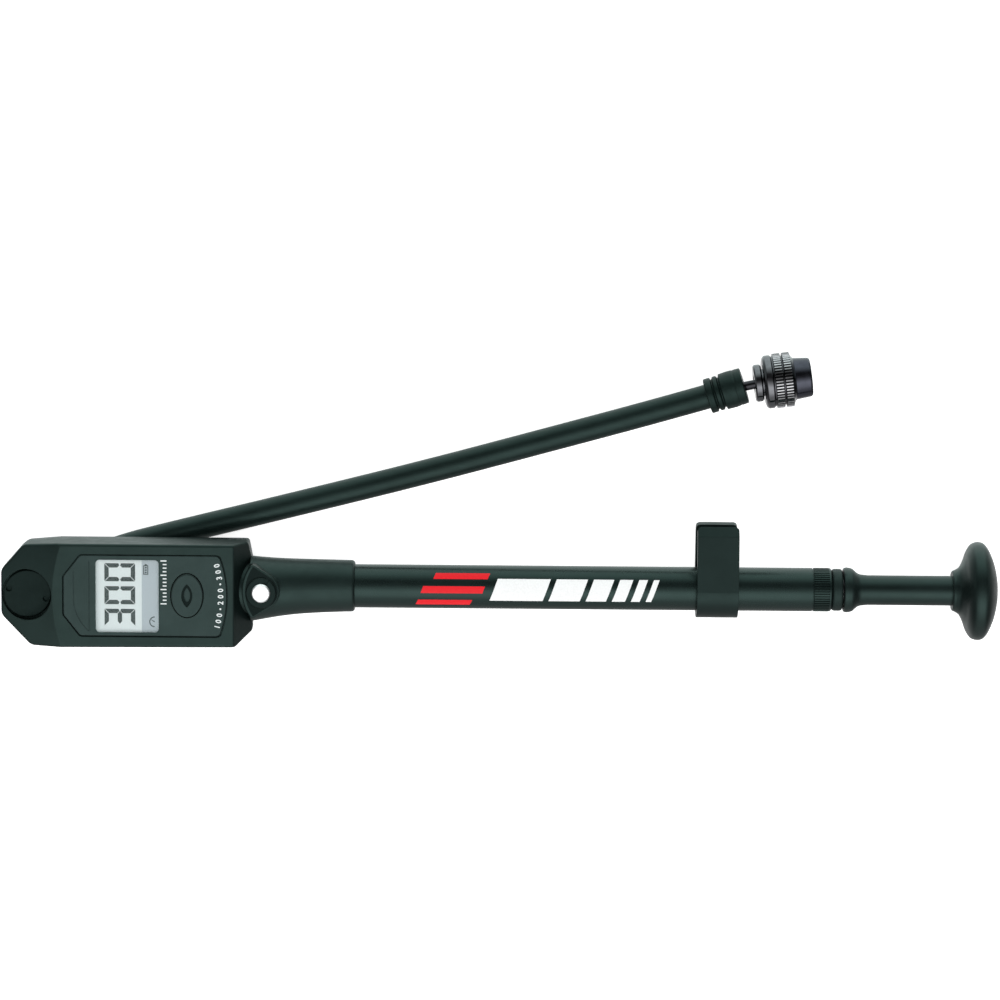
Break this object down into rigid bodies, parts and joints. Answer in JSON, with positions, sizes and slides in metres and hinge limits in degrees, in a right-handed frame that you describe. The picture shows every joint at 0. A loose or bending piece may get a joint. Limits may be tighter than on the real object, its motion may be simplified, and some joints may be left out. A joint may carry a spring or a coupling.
{
  "type": "shock suspension pump",
  "caption": "High-pressure hand pump with a digital gauge head, a swivelling hose with a screw-on chuck, a slim barrel with a hose clip, and a plunger with a mushroom knob.",
  "frame": {"origin": "on the barrel's axis, at the middle of the free stretch between neck and clip", "axes": "+X along the barrel towards the knob, +Y towards the side that the hose lies on, +Z out of the display"},
  "size_m": [0.3201, 0.0954, 0.0316],
  "materials": {
    "housing": "fine moulded texture",
    "panel": "fine moulded texture",
    "cap": "satin",
    "clip": "satin",
    "handle": "satin",
    "collar": "satin",
    "bushing": "smooth",
    "switch": "smooth",
    "board": "solder mask",
    "lcd": "reflective liquid crystal display",
    "lens": "clear",
    "barrel": "satin black anodised",
    "black_metal": "satin black",
    "aluminium": "turned",
    "sensor": "satin",
    "cell": "satin",
    "screw_steel": "dark zinc",
    "polished": "polished",
    "chrome": "polished",
    "brass": "turned",
    "seal_rubber": "smooth",
    "hose_rubber": "smooth moulded rubber"
  },
  "bodies": {
    "pump_body": {"front_housing": "housing", "rear_housing": "housing", "case_screws": "screw_steel", "face_panel": "panel", "lcd_window": "lens", "lcd_module": "lcd", "circuit_board": "board", "push_switch": "switch", "pressure_sensor": "sensor", "coin_cell": "cell", "air_block": "aluminium", "check_valve_seat": "brass", "check_valve": "brass", "check_valve_spring": "screw_steel", "neck_sleeve": "housing", "bleed_collar": "collar", "bleed_spring": "screw_steel", "barrel_tube": "barrel", "end_cap": "barrel", "rod_bushing": "bushing", "bumper_ring": "seal_rubber", "swivel_bolt": "screw_steel", "swivel_seals": "seal_rubber", "swivel_cap": "cap"},
    "plunger": {"piston_rod": "aluminium", "piston": "bushing", "piston_seal": "seal_rubber", "handle_sleeve": "handle", "knob": "handle"},
    "mode_button": {"mode_button": "panel"},
    "bleed_button": {"bleed_button": "polished"},
    "battery_cover": {"battery_cover": "housing", "battery_seal": "seal_rubber"},
    "hose_clip": {"hose_clip": "clip"},
    "hose_arm": {"banjo": "black_metal", "ferrule": "black_metal", "hose": "hose_rubber", "boot": "hose_rubber", "ball_post": "chrome"},
    "chuck": {"chuck_socket": "chrome", "valve_seal": "seal_rubber", "valve_pusher": "brass"},
    "chuck_nut": {"chuck_nut": "chrome"}
  },
  "joints": [
    {"name": "plunger_slide", "type": "slide", "parent": "pump_body", "child": "plunger", "axis": [1, 0, 0], "range_m": [0, 0.135]},
    {"name": "mode_press", "type": "slide", "parent": "pump_body", "child": "mode_button", "axis": [0, 0, -1], "range_m": [0, 0.0007], "stiffness_N_per_m": 900, "springref_m": -0.0003},
    {"name": "bleed_press", "type": "slide", "parent": "pump_body", "child": "bleed_button", "axis": [0, 0, -1], "range_m": [0, 0.001], "stiffness_N_per_m": 1200, "springref_m": -0.0003, "deforming": ["bleed_spring"]},
    {"name": "cover_turn", "type": "hinge", "parent": "pump_body", "child": "battery_cover", "pos_m": [-0.113, -0.0023, -0.0063], "axis": [0, 0, -1], "range_deg": [0, 45]},
    {"name": "clip_turn", "type": "hinge", "parent": "pump_body", "child": "hose_clip", "pos_m": [0.0617, 0, 0], "axis": [1, 0, 0], "continuous": true},
    {"name": "hose_swing", "type": "hinge", "parent": "pump_body", "child": "hose_arm", "pos_m": [-0.1598, -0.0025, -0.0115], "axis": [0, 0, 1], "range_deg": [-8, 180]},
    {"name": "chuck_tilt", "type": "hinge", "parent": "hose_arm", "child": "chuck", "pos_m": [0.07558, 0.06611, -0.0069], "axis": [0, 0, 1], "range_deg": [-15, 15]},
    {"name": "nut_spin", "type": "hinge", "parent": "chuck", "child": "chuck_nut", "pos_m": [0.08768, 0.06768, -0.0069], "axis": [0.9917, 0.1288, 0], "continuous": true}
  ]
}
